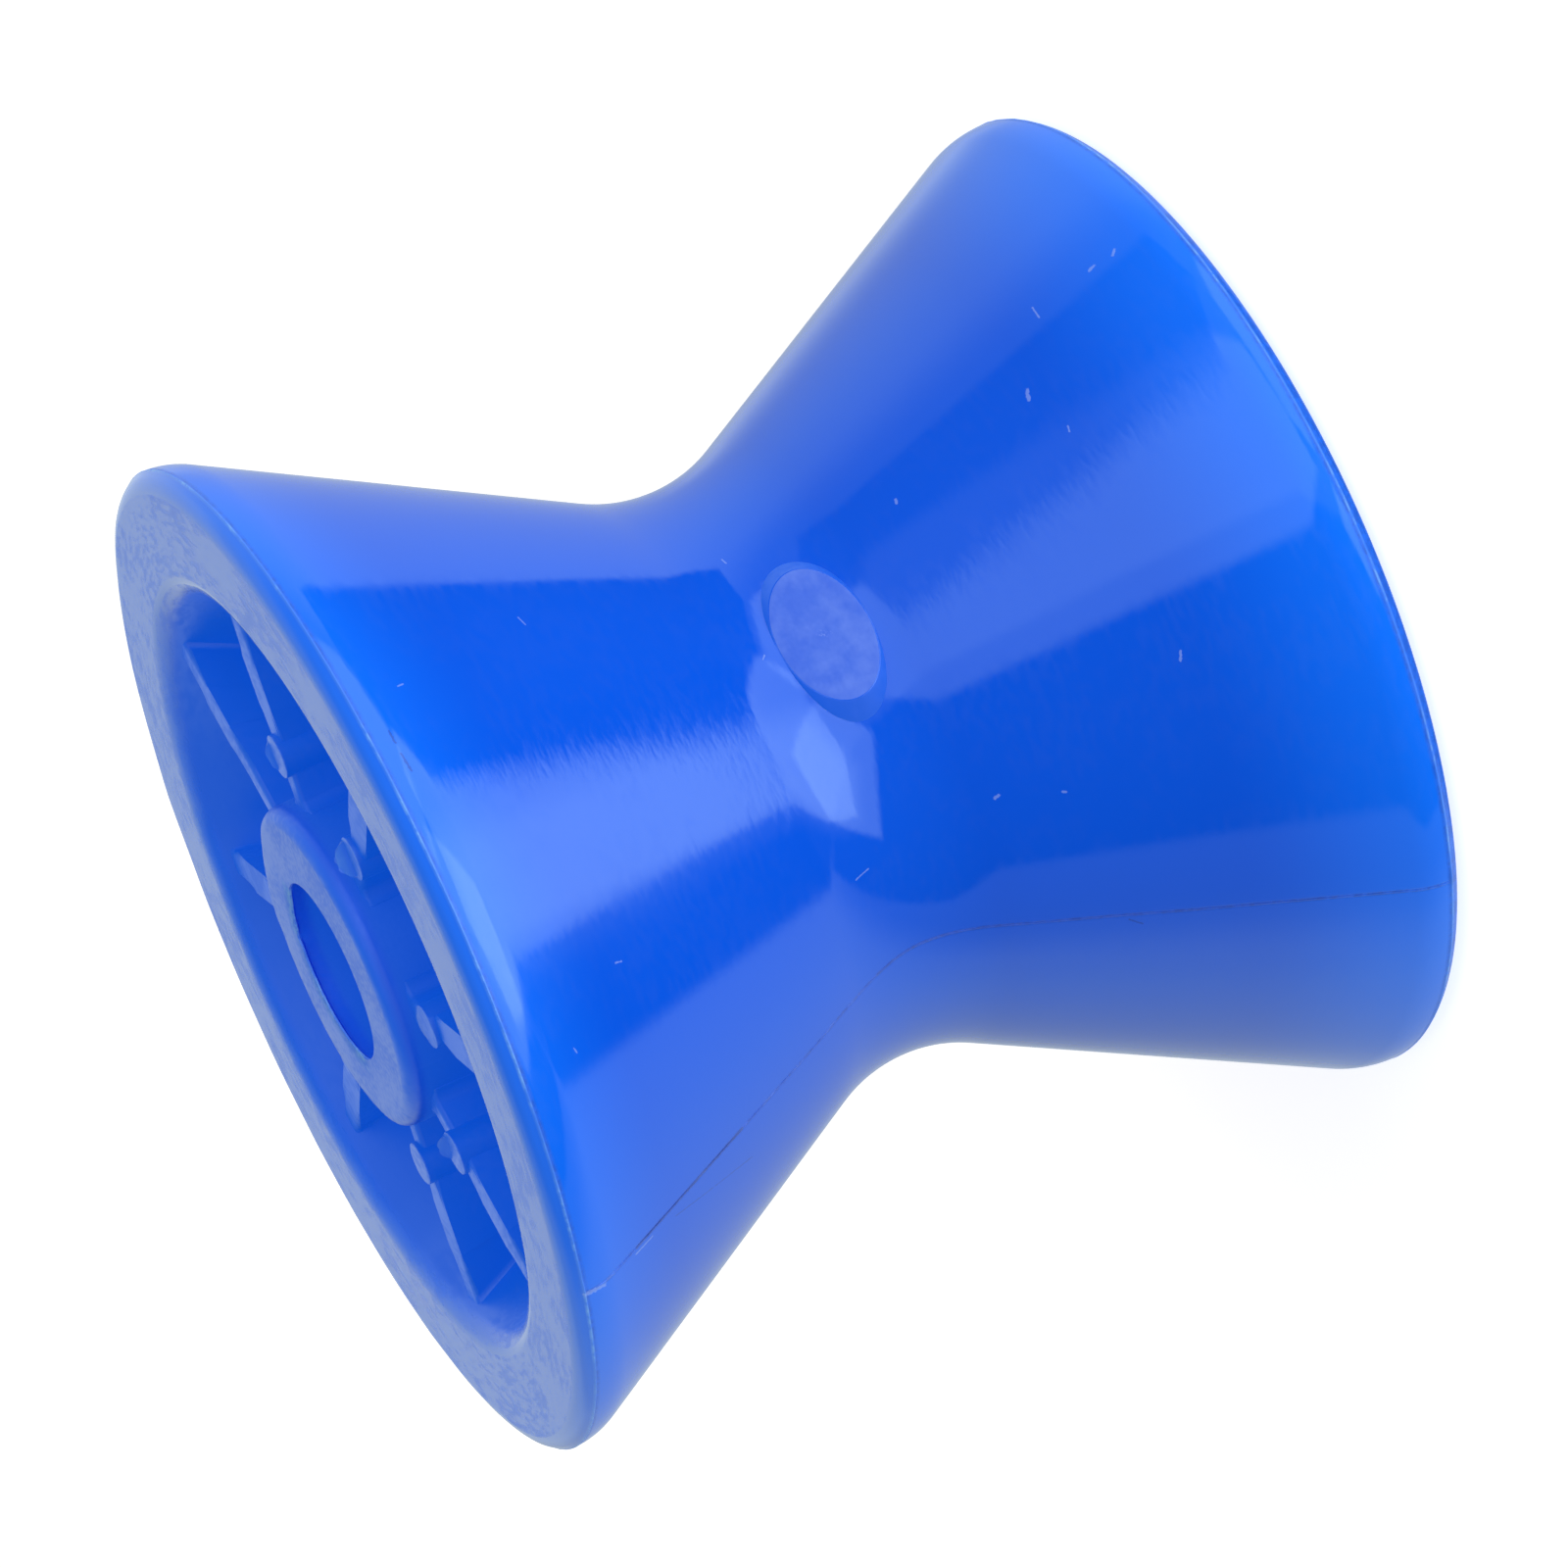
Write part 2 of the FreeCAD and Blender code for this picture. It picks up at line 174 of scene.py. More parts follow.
def lookDirection(sideways, upward):
    level = camBack * cos(radians(sideways)) + camRight * sin(radians(sideways))
    return level * cos(radians(upward)) + camUp * sin(radians(upward))


def panelMask(tree, ray, soft, corners):
    # One inside the panel's corners, whose sides are planes through the roller
    sights = [lookDirection(*corner) for corner in corners]
    middle = sum(sights, Vector())
    depth = None
    for here, there in zip(sights, sights[1:] + sights[:1]):
        inward = here.cross(there).normalized()
        if inward.dot(middle) < 0:
            inward.negate()
        side = dotWith(tree, ray, inward)
        depth = side if depth is None else doMath(tree, "MINIMUM", depth, side)
    return ramp(tree, depth, -soft, soft)


def makeWorld():
    world = bpy.data.worlds.new("studioWorld")
    world.use_nodes = True
    scene.world = world
    tree = world.node_tree
    tree.nodes.clear()
    ray = addNode(tree, "ShaderNodeTexCoord").outputs["Generated"]
    path = addNode(tree, "ShaderNodeLightPath")
    facing = dotWith(tree, ray, camBack)
    behind = ramp(tree, facing, *studio["farSpan"], smooth=False)
    farSide = ramp(tree, behind, 0.0, 1.0, studio["backGlow"], studio["farGlow"])
    glow = ramp(tree, facing, *studio["sideSpan"], studio["frontGlow"], farSide)
    for share, soft, *corners in screens:
        hidden = doMath(tree, "MULTIPLY", panelMask(tree, ray, soft, corners), share)
        glow = doMath(tree, "MULTIPLY", glow, doMath(tree, "SUBTRACT", 1.0, hidden))
    for brightness, soft, *corners in windows:
        glow = doMath(tree, "MULTIPLY_ADD", panelMask(tree, ray, soft, corners), brightness, glow)
    seen = doMath(tree, "ADD", path.outputs["Is Camera Ray"], path.outputs["Is Transmission Ray"],
                  clamp=True)
    right, up, near = studio["bright"]
    side = dotWith(tree, ray, camRight * right + camUp * up + camBack * near)
    soft = doMath(tree, "MAXIMUM", doMath(tree, "MULTIPLY_ADD", side, studio["slant"], 1.0), 0.0)
    soft = doMath(tree, "MULTIPLY", soft, studio["ambient"])
    strength = ramp(tree, path.outputs["Is Glossy Ray"], 0.0, 1.0, soft, glow, smooth=False)
    strength = ramp(tree, seen, 0.0, 1.0, strength, 1.0, smooth=False)
    background = addNode(tree, "ShaderNodeBackground")
    feed(tree, background.inputs["Strength"], strength)
    tinted = doMath(tree, "MULTIPLY", path.outputs["Is Glossy Ray"], doMath(tree, "SUBTRACT", 1.0, seen))
    tint = mixColour(tree, behind, studio["coolTint"], studio["paleTint"])
    feed(tree, background.inputs["Color"], mixColour(tree, tinted, (1, 1, 1, 1), tint))
    output = addNode(tree, "ShaderNodeOutputWorld")
    feed(tree, output.inputs["Surface"], background.outputs[0])


def makeFloor():
    bm = bmesh.new()
    bmesh.ops.create_grid(bm, x_segments=1, y_segments=1, size=studio["floorSize"] / 2)
    bmesh.ops.translate(bm, verts=bm.verts, vec=(0, 0, cadBox[0].z))
    mesh = bpy.data.meshes.new("paleFloor")
    bm.to_mesh(mesh)
    bm.free()
    floor = bpy.data.objects.new("paleFloor", mesh)
    scene.collection.objects.link(floor)
    material = bpy.data.materials.new("paleFloor")
    material.use_nodes = True
    tree = material.node_tree
    shader = tree.nodes["Principled BSDF"]
    shader.inputs["Base Color"].default_value = studio["floorColour"]
    shader.inputs["Roughness"].default_value = 0.9
    shader.inputs["Specular IOR Level"].default_value = 0.0
    shader.inputs["Emission Color"].default_value = (1, 1, 1, 1)
    path = addNode(tree, "ShaderNodeLightPath")
    lift = doMath(tree, "MULTIPLY", path.outputs["Is Camera Ray"], studio["floorLift"])
    feed(tree, shader.inputs["Emission Strength"], lift)
    mesh.materials.append(material)
    floor.visible_glossy = False      # reflections see the white studio in its place
    floor.visible_diffuse = False     # and so does the light that comes from below
    floor.visible_shadow = False


def addLamp(name, place, target, width, power):
    data = bpy.data.lights.new(name, "AREA")
    data.shape = "SQUARE"
    data.size = width
    data.energy = power
    lamp = bpy.data.objects.new(name, data)
    lamp.location = place
    lamp.rotation_euler = (Vector(target) - Vector(place)).to_track_quat("-Z", "Y").to_euler()
    lamp.visible_camera = False
    lamp.visible_glossy = False
    scene.collection.objects.link(lamp)


makeWorld()
makeFloor()
addLamp("softKey", studio["keyPlace"], (0, 0, 0), studio["keyWidth"], studio["keyPower"])
print("studio ready")


# The moulding's form, in millimetres

form = {
    "halfWidth": 37.5,          # middle plane to rim face
    "rimRadius": 40.2,
    "throatRadius": 23.8,
    "throatRound": 14.25,
    "rimRound": 6.0,
    "partingDepth": 1.15,       # rim face to parting line
    "endCorner": 1.85,
    "mouthRadius": 32.4,
    "mouthRound": 2.4,
    "cavityDepth": 24.0,
    "floorRound": 1.2,
    "boreRadius": 7.27,
    "hubRadius": 13.2,
    "hubRound": 1.2,
    "hubStand": 0.4,
    "hubDraft": 1.0,            # degrees
    "seamHalfWidth": 0.6,       # degrees of fine facets each side of a seam
    "seamSteps": 10,
    "sideSteps": 128,           # facets between the two seams
}

flaw = {
    "seamRidge": 0.045,         # height of the axial parting line
    "seamGroove": 0.055,
    "rimRidge": 0.07,           # height of the flash round each rim
    "rimFoot": 1.2,             # degrees of the rim's arc that the flash's foot takes
    "cornerFoot": 6.0,          # the same on the end's corner
    "burr": 0.9,                # share by which the flash grows where it meets a seam
    "burrSpan": 0.8,            # degrees
    "boreLip": 0.50,            # ragged skin left at the bore's mouth
    "lipRoot": 0.35,            # depth at which that skin leaves the bore
    "lipEdge": 0.14,            # depth of its edge
    "lipEase": 0.06,            # step from its edge to the hub's face
    "lipSide": ((148, 12), (308, 25)),    # degrees where its heavy side starts and ends, and over how many
    "lipNotch": (196, 4, 0.85),           # degrees, width in degrees, depth as a share
    "lipShares": (0.12, 0.35, 0.75),      # height all round, on the heavy side, and the noise's there
    "lipGrain": 0.11,                     # noise cycles a degree
    "ridgeGrain": 0.9,          # noise cycles a millimetre along the flash
    "driftSpan": 18,            # degrees each side of the first seam that follow its drift
}

# Drift of the seam by height: height in mm, degrees
seamDrift = ((-36, 1.0), (-22, 1.15), (-8, 1.5), (0, 2.5), (7, 0.3), (12, -0.1), (36, -0.1))

skin, rimTip, lipTip = 1, 2, 3      # kinds of vertices on the section, the rest being 0


def runTo(bm, start, point, steps=1):
    # Straight run from a vertex, in equal steps
    step = (Vector(point) - start.co) / steps
    vert = start
    for _ in range(steps):
        vert = bmesh.ops.extrude_vert_indiv(bm, verts=[vert])["verts"][0]
        bmesh.ops.translate(bm, verts=[vert], vec=step)
    return vert


def swing(bm, start, centre, angle, steps, axis=(0, -1, 0)):
    # Arc from a vertex about a centre
    made = bmesh.ops.spin(bm, geom=[start], cent=centre, axis=axis, angle=radians(angle), steps=steps)
    return next(item for item in made["geom_last"] if isinstance(item, bmesh.types.BMVert))


def coneAngle():
    # Lean of the cones: the common tangent of the throat's arc and the rim's arc
    spanR = form["throatRadius"] + form["throatRound"] - form["rimRadius"] + form["rimRound"]
    spanZ = form["halfWidth"] - form["partingDepth"]
    reach = hypot(spanR, spanZ)
    return asin((form["throatRound"] + form["rimRound"]) / reach) - asin(spanR / reach)


lean = coneAngle()
hubTop = form["halfWidth"] + form["hubStand"]
floorZ = form["halfWidth"] - form["cavityDepth"]
partingZ = form["halfWidth"] - form["partingDepth"]


def wallRadius(z):
    # Inner wall of the cavity at a height, parallel to the cone
    mouthZ = form["halfWidth"] - form["mouthRound"]
    touchR = form["mouthRadius"] - form["mouthRound"] * cos(lean)
    touchZ = mouthZ + form["mouthRound"] * sin(lean)
    return touchR - (touchZ - z) * tan(lean)


def drawSection(bm):
    # Half section from the bore at the middle plane, over the end and down to the throat; the last number
    # of each run or arc is its count of facets
    kinds = bm.verts.layers.int.new("kind")
    bore = form["boreRadius"]
    hub = form["hubRadius"]
    draft = form["hubDraft"]
    hubFoot = hub + (hubTop - floorZ) * tan(radians(draft))
    leanDeg = degrees(lean)
    at = bm.verts.new((bore, 0, 0))
    at = runTo(bm, at, (bore, 0, hubTop - flaw["lipRoot"]), 8)
    tip = runTo(bm, at, (bore, 0, hubTop - flaw["lipEdge"]))
    tip[kinds] = lipTip
    at = runTo(bm, tip, (bore + flaw["lipEase"], 0, hubTop))
    at = runTo(bm, at, (hub - form["hubRound"], 0, hubTop), 3)
    at = swing(bm, at, (hub - form["hubRound"], 0, hubTop - form["hubRound"]), draft - 90, 6)
    fillet = form["floorRound"]
    at = runTo(bm, at, (hubFoot, 0, floorZ + fillet), 6)
    at = swing(bm, at, (hubFoot + fillet, 0, floorZ + fillet), 90 - draft, 4)
    # the floor, its far fillet and the inner wall, tangent to each other
    rise = floorZ + fillet - fillet * sin(lean)
    filletX = wallRadius(rise) - fillet * cos(lean)
    at = runTo(bm, at, (filletX, 0, floorZ), 3)
    at = swing(bm, at, (filletX, 0, floorZ + fillet), 90 - leanDeg, 4)
    mouth = (form["mouthRadius"], 0, form["halfWidth"] - form["mouthRound"])
    touchZ = mouth[2] + form["mouthRound"] * sin(lean)
    at = runTo(bm, at, (wallRadius(touchZ), 0, touchZ), 14)
    at = swing(bm, at, mouth, leanDeg - 90, 8)
    # rim face, corner and the rim's own parting line
    corner = form["endCorner"]
    drop = corner - form["partingDepth"]
    cornerX = form["rimRadius"] - (corner ** 2 - drop ** 2) ** 0.5
    at = runTo(bm, at, (cornerX, 0, form["halfWidth"]), 4)
    cornerEnd = degrees(asin(drop / corner))
    at = swing(bm, at, (cornerX, 0, form["halfWidth"] - corner), cornerEnd - 90 + flaw["cornerFoot"], 8)
    tip = runTo(bm, at, (form["rimRadius"], 0, partingZ))
    tip[kinds] = rimTip
    at = tip
    rimX = form["rimRadius"] - form["rimRound"]
    skip = radians(flaw["rimFoot"])
    at = runTo(bm, at, (rimX + form["rimRound"] * cos(skip), 0, partingZ - form["rimRound"] * sin(skip)))
    at[kinds] = skin
    mark = len(bm.verts)
    at = swing(bm, at, (rimX, 0, partingZ), flaw["rimFoot"] - leanDeg, 9)
    throatX = form["throatRadius"] + form["throatRound"]
    foot = (throatX - form["throatRound"] * cos(lean), 0, form["throatRound"] * sin(lean))
    at = runTo(bm, at, foot, 40)
    swing(bm, at, (throatX, 0, 0), leanDeg, 12)
    bm.verts.ensure_lookup_table()
    for vert in list(bm.verts)[mark - 1:]:
        vert[kinds] = skin


def driftAt(z):
    # Seam's drift in degrees at a height
    for (lowZ, lowDeg), (highZ, highDeg) in zip(seamDrift, seamDrift[1:]):
        if z <= highZ:
            t = max(0.0, (z - lowZ) / (highZ - lowZ))
            return lowDeg + (highDeg - lowDeg) * t * t * (3 - 2 * t)
    return seamDrift[-1][1]


def ragged(a, b, c=0.0):
    # Repeatable noise from 0 to 1
    return 0.5 + 0.5 * noise.noise(Vector((a, b, c)))


def lipHeight(turn):
    # Skin at the bore's mouth: heavier on one side, with one notch
    (start, rise), (end, fall) = flaw["lipSide"]
    side = max(0.0, min(1.0, (turn - start) / rise, (end - turn) / fall))
    place, width, depth = flaw["lipNotch"]
    notch = 1 - depth * exp(-((turn - place) / width) ** 2)
    around, heavy, rough = flaw["lipShares"]
    heavy += rough * ragged(turn * flaw["lipGrain"], 3.1)
    return flaw["boreLip"] * (around + side * notch * heavy)


def turnBody():
    bm = bmesh.new()
    drawSection(bm)
    bmesh.ops.mirror(bm, geom=bm.verts[:] + bm.edges[:] + bm.faces[:], axis="Z", merge_dist=1e-5)
    half = form["seamHalfWidth"]
    bmesh.ops.rotate(bm, verts=bm.verts, cent=(0, 0, 0), matrix=Matrix.Rotation(radians(-half), 3, "Z"))
    ring = bm.verts[:] + bm.edges[:]
    spans = ((2 * half, form["seamSteps"]), (180 - 2 * half, form["sideSteps"])) * 2
    for angle, steps in spans:
        ring = bmesh.ops.spin(bm, geom=ring, cent=(0, 0, 0), axis=(0, 0, 1), angle=radians(angle),
                              steps=steps)["geom_last"]
    bmesh.ops.remove_doubles(bm, verts=bm.verts, dist=0.004)
    kinds = bm.verts.layers.int["kind"]
    fine = 2 * half / form["seamSteps"]
    for vert in bm.verts:
        radius = hypot(vert.co.x, vert.co.y)
        turn = degrees(atan2(vert.co.y, vert.co.x)) % 360
        z = vert.co.z
        kind = vert[kinds]
        offSeam = min(abs(turn), abs(turn - 180), abs(turn - 360))
        side = (turn + 90) % 180 - 90         # degrees past the nearer seam
        push = 0.0
        if kind == rimTip:
            along = radians(turn) * radius * flaw["ridgeGrain"]
            burr = flaw["burr"] * exp(-(offSeam / flaw["burrSpan"]) ** 2)
            push = flaw["rimRidge"] * (ragged(along, z) ** 2 + burr)
        elif kind == lipTip:
            push = -lipHeight(turn) * (1 if z > 0 else 0.5)
        elif kind == skin and offSeam < fine * 1.5:
            along = z * flaw["ridgeGrain"]
            if offSeam < fine * 0.5:
                push = flaw["seamRidge"] * ragged(along, 7.7)
            elif side > 0:
                push = -flaw["seamGroove"] * ragged(along, 9.3)
        if push:
            vert.co.x *= 1 + push / radius
            vert.co.y *= 1 + push / radius
        reach = max(0.0, 1 - abs((turn + 180) % 360 - 180) / flaw["driftSpan"])
        if reach:
            shift = radians(driftAt(z)) * reach * reach * (3 - 2 * reach)
            vert.co = Matrix.Rotation(shift, 3, "Z") @ vert.co
    bmesh.ops.recalc_face_normals(bm, faces=bm.faces)
    return bm


rib = {
    "count": 8,
    "phase": 22.5,            # degrees to the first rib
    "thickness": 2.2,
    "drop": 0.25,             # below the foot of the mouth's soft edge
    "round": 0.4,
    "flare": 0.9,             # fillet where a rib meets the hub and the wall
    "inHub": 3.0,             # how far a rib reaches into the hub
    "inWall": 1.6,            # and into the wall
    "overlap": 0.15,          # by which its fillets run into the hub
}
ribTop = form["halfWidth"] - form["mouthRound"] + form["mouthRound"] * sin(lean) - rib["drop"]


def makeRib():
    # One rib along X: half outline, mirrored, filled and pulled down along the leaning wall
    bm = bmesh.new()
    half = rib["thickness"] / 2
    flare = rib["flare"]
    hub = form["hubRadius"] + (hubTop - ribTop) * tan(radians(form["hubDraft"]))
    wall = wallRadius(ribTop)
    low = floorZ - form["floorRound"]
    overlap = rib["overlap"]
    at = bm.verts.new((hub - rib["inHub"], 0, ribTop))
    at = runTo(bm, at, (hub - rib["inHub"], half + flare + overlap, ribTop))
    at = runTo(bm, at, (hub - overlap, half + flare + overlap, ribTop))
    at = swing(bm, at, (hub + flare, half + flare, ribTop), 82, 5, axis=(0, 0, 1))
    at = runTo(bm, at, (wall - flare, half, ribTop), 4)
    at = swing(bm, at, (wall - flare, half + flare, ribTop), 90, 5, axis=(0, 0, 1))
    at = runTo(bm, at, (wall + rib["inWall"], half + flare, ribTop))
    runTo(bm, at, (wall + rib["inWall"], 0, ribTop))
    bmesh.ops.mirror(bm, geom=bm.verts[:] + bm.edges[:], axis="Y", merge_dist=1e-4)
    bmesh.ops.remove_doubles(bm, verts=bm.verts, dist=1e-4)
    bmesh.ops.edgeloop_fill(bm, edges=bm.edges)
    pulled = bmesh.ops.extrude_face_region(bm, geom=bm.faces[:], use_keep_orig=True)["geom"]
    lower = [item for item in pulled if isinstance(item, bmesh.types.BMVert)]
    bmesh.ops.translate(bm, verts=lower, vec=(0, 0, low - ribTop))
    middle = (hub + wall) / 2
    bmesh.ops.translate(bm, verts=[v for v in lower if v.co.x > middle], vec=(wallRadius(low) - wall, 0, 0))
    bmesh.ops.translate(bm, verts=[v for v in lower if v.co.x < middle],
                        vec=((ribTop - low) * tan(radians(form["hubDraft"])), 0, 0))
    bmesh.ops.recalc_face_normals(bm, faces=bm.faces)
    topEdges = [e for e in bm.edges if all(v.co.z > ribTop - 1e-4 for v in e.verts)]
    bmesh.ops.bevel(bm, geom=topEdges, affect="EDGES", offset=rib["round"], segments=3, profile=0.5,
                    material=-1)
    return bm


pad = {
    "radius": 1.75,
    "ring": 17.5,             # roller axis to pad axis
    "stand": 0.4,             # above the rib
    "bare": 157.5,            # the rib without a pad
    "edge": 0.12,
    "crest": 0.22,            # width of the ring that carries the flash
}
# Flash standing on the pads' edges by rib angle: height, direction that it faces, spread in degrees
padFlash = {67.5: (0.85, 150, 75), -22.5: (0.75, 205, 55), 112.5: (0.45, 100, 50), 22.5: (0.15, 180, 60)}
otherFlash = (0.08, 0, 90)


def makePad(ribTurn):
    bm = bmesh.new()
    low = floorZ - form["floorRound"]
    high = ribTop + pad["stand"]
    bmesh.ops.create_cone(bm, cap_ends=True, segments=40, radius1=pad["radius"], radius2=pad["radius"],
                          depth=high - low)
    bmesh.ops.translate(bm, verts=bm.verts, vec=(0, 0, (high + low) / 2))
    cap = max(bm.faces, key=lambda face: face.calc_center_median().z)
    bmesh.ops.bevel(bm, geom=list(cap.edges), affect="EDGES", offset=pad["edge"], segments=2, profile=0.5,
                    material=-1)
    cap = max(bm.faces, key=lambda face: (face.calc_center_median().z, face.calc_area()))
    crest = list(cap.verts)
    bmesh.ops.inset_region(bm, faces=[cap], thickness=pad["crest"], depth=0.0)
    height, facing, spread = padFlash.get(ribTurn, otherFlash)
    for vert in crest:
        turn = degrees(atan2(vert.co.y, vert.co.x))
        off = abs((turn - facing + 180) % 360 - 180) / spread
        lift = max(0.0, 1 - off * off) ** 0.7 * (0.7 + 0.5 * ragged(turn * 0.05, ribTurn))
        bmesh.ops.translate(bm, verts=[vert], vec=(0, 0, height * lift))
    bmesh.ops.translate(bm, verts=bm.verts, vec=(pad["ring"], 0, 0))
    return bm


gate = {
    "turn": 63.5,             # degrees from +X
    "offset": 1.5,            # below the middle plane
    "long": 5.65,             # half length of the oval, round the roller
    "short": 3.6,             # half width, along the roller
    "stand": 0.5,
    "depth": 3.0,
    "slope": 40.0,            # degrees that its side leans outwards
    "edge": 0.08,
    "rings": (0.3, 1.2),      # widths of the rings of facets inside its edge
}


def makeGate():
    # Flat oval land on the throat, where the sprue was cut off
    bm = bmesh.new()
    depth = gate["depth"]
    spread = depth * tan(radians(gate["slope"]))
    bmesh.ops.create_cone(bm, cap_ends=True, segments=96, radius1=1, radius2=1, depth=depth)
    bmesh.ops.translate(bm, verts=bm.verts, vec=(0, 0, -depth / 2))
    for level, wider in ((-depth, spread), (0, 0)):
        ring = [vert for vert in bm.verts if abs(vert.co.z - level) < 1e-4]
        bmesh.ops.scale(bm, verts=ring, vec=(gate["long"] + wider, gate["short"] + wider, 1))
    cap = max(bm.faces, key=lambda face: face.calc_center_median().z)
    bmesh.ops.bevel(bm, geom=list(cap.edges), affect="EDGES", offset=gate["edge"], segments=2, profile=0.5,
                    material=-1)
    cap = max(bm.faces, key=lambda face: face.calc_area() if face.calc_center_median().z > -1e-3 else 0)
    for width in gate["rings"]:
        bmesh.ops.inset_region(bm, faces=[cap], thickness=width)
    return onLand(bm)


def landAxes():
    # The way that the land faces and the middle of its face, before its turn round the roller
    tilt = asin(gate["offset"] / form["throatRound"])
    outwards = Vector((cos(tilt), 0, sin(tilt)))
    centre = Vector((form["throatRadius"] + form["throatRound"], 0, 0))
    return outwards, centre - outwards * (form["throatRound"] - gate["stand"])


def onLand(bm):
    # From the land's own axes, with its face at height nought, to the roller's
    outwards, middle = landAxes()
    place = Matrix.Translation(middle) @ outwards.to_track_quat("Z", "Y").to_matrix().to_4x4()
    place = Matrix.Rotation(radians(gate["turn"]), 4, "Z") @ place
    bmesh.ops.transform(bm, matrix=place, verts=bm.verts)
    return bm


def meshObject(name, bm):
    mesh = bpy.data.meshes.new(name)
    bm.to_mesh(mesh)
    bm.free()
    piece = bpy.data.objects.new(name, mesh)
    scene.collection.objects.link(piece)
    return piece


def copies(makeOne, turns):
    # The same form at several angles and on both ends, in one mesh
    gathered = bmesh.new()
    for turn in turns:
        for top in (True, False):
            one = makeOne(turn)
            bmesh.ops.rotate(one, verts=one.verts, cent=(0, 0, 0),
                             matrix=Matrix.Rotation(radians(turn), 3, "Z"))
            if not top:
                bmesh.ops.scale(one, verts=one.verts, vec=(1, 1, -1))
                bmesh.ops.reverse_faces(one, faces=one.faces)
            mesh = bpy.data.meshes.new("part")
            one.to_mesh(mesh)
            one.free()
            gathered.from_mesh(mesh)
            bpy.data.meshes.remove(mesh)
    return gathered


def fuse(base, tool):
    # The tool's form becomes one body with the base
    joining = base.modifiers.new("fuse", "BOOLEAN")
    joining.operation = "UNION"
    joining.solver = "MANIFOLD"
    joining.object = tool
    fused = bpy.data.meshes.new_from_object(base.evaluated_get(bpy.context.evaluated_depsgraph_get()))
    base.modifiers.clear()
    old = base.data
    base.data = fused
    bpy.data.meshes.remove(old)
    bpy.data.objects.remove(tool)


ribTurns = [rib["phase"] + 360 / rib["count"] * i for i in range(rib["count"])]
ribTurns = [turn - 360 if turn > 180 else turn for turn in ribTurns]
moulding = meshObject("rollerMoulding", turnBody())
print("body turned:", len(moulding.data.polygons), "faces")
fuse(moulding, meshObject("ribs", copies(lambda turn: makeRib(), ribTurns)))
print("ribs fused:", len(moulding.data.polygons), "faces")
fuse(moulding, meshObject("pads", copies(makePad, [turn for turn in ribTurns if turn != pad["bare"]])))
fuse(moulding, meshObject("gateLand", makeGate()))
print("pads and gate land fused:", len(moulding.data.polygons), "faces")


# Specks and scratches on the skin: from turn and height to turn and height, width in mm
scuffs = (
    (77.8, -21.9, 76.4, -21.6, 0.30),
    (37.9, -22.5, 36.9, -22.3, 0.22),
    (85.4, -30.4, 85.3, -30.0, 0.30),
    (87.0, -25.6, 85.1, -25.5, 0.15),
    (85.2, -32.1, 84.7, -31.8, 0.24),
    (26.4, -8.1, 26.2, -7.8, 0.28),
    (77.3, -10.7, 76.7, -10.6, 0.24),
    (77.4, 20.4, 76.1, 20.2, 0.12),
    (22.1, 2.5, 21.4, 3.8, 0.12),
    (24.3, -12.2, 24.1, -12.4, 0.20),
    (70.0, -22.7, 69.3, -22.6, 0.15),
    (31.9, 25.5, 32.1, 26.0, 0.15),
    (69.4, 31.9, 69.2, 32.4, 0.12),
    (26.6, 31.7, 26.0, 31.6, 0.14),
    (87.0, 1.8, 85.8, 1.7, 0.14),
    (64.5, 3.3, 63.8, 3.6, 0.12),
    (-0.2, 36.3, -0.5, 34.7, 0.42),
    (-0.9, 31.4, -1.0, 29.6, 0.14),
)
# Dark strokes, the same way: painted shade in a crease by the near rim and along stretches of the near seam,
# with a few nicks and a faint flow mark
shadeStrokesAndNicks = (
    (-0.1, 31.2, -0.1, 25.5, 0.28),
    (-0.1, 25.5, -0.1, 19.5, 0.34),
    (117.0, 33.6, 122.0, 34.1, 0.16),
    (122.0, 34.1, 127.5, 34.6, 0.20),
    (127.5, 34.6, 133.0, 35.0, 0.16),
    (64.3, 34.8, 62.9, 34.8, 0.22),
    (61.6, 34.8, 59.6, 34.7, 0.24),
    (0.4, -14.7, -0.6, -15.5, 0.16),
    (-1.9, 27.1, -7.1, 18.8, 0.10),
)


def skinRadius(z):
    # Radius of the outer skin at a height
    z = abs(z)
    throatX = form["throatRadius"] + form["throatRound"]
    footZ = form["throatRound"] * sin(lean)
    rimZ = partingZ - form["rimRound"] * sin(lean)
    if z < footZ:
        return throatX - (form["throatRound"] ** 2 - z * z) ** 0.5
    if z < rimZ:
        return throatX - form["throatRound"] * cos(lean) + (z - footZ) * tan(lean)
    return form["rimRadius"] - form["rimRound"] + (form["rimRound"] ** 2 - (partingZ - z) ** 2) ** 0.5


def skinPoint(turn, z):
    radius = skinRadius(z)
    return Vector((radius * cos(radians(turn)), radius * sin(radians(turn)), z)) * mm


strokeEnds = [(skinPoint(*stroke[:2]) / mm, skinPoint(*stroke[2:4]) / mm) for stroke in scuffs + shadeStrokesAndNicks]
strokeReach = 1.6             # mm about a stroke that take the marked finish


def nearStroke(point):
    # Only the faces by a scuff or nick take the finish that draws them, which is slower
    for start, end in strokeEnds:
        along = end - start
        share = max(0.0, min(1.0, (point - start).dot(along) / along.length_squared))
        if (point - start - along * share).length < strokeReach:
            return True
    return False
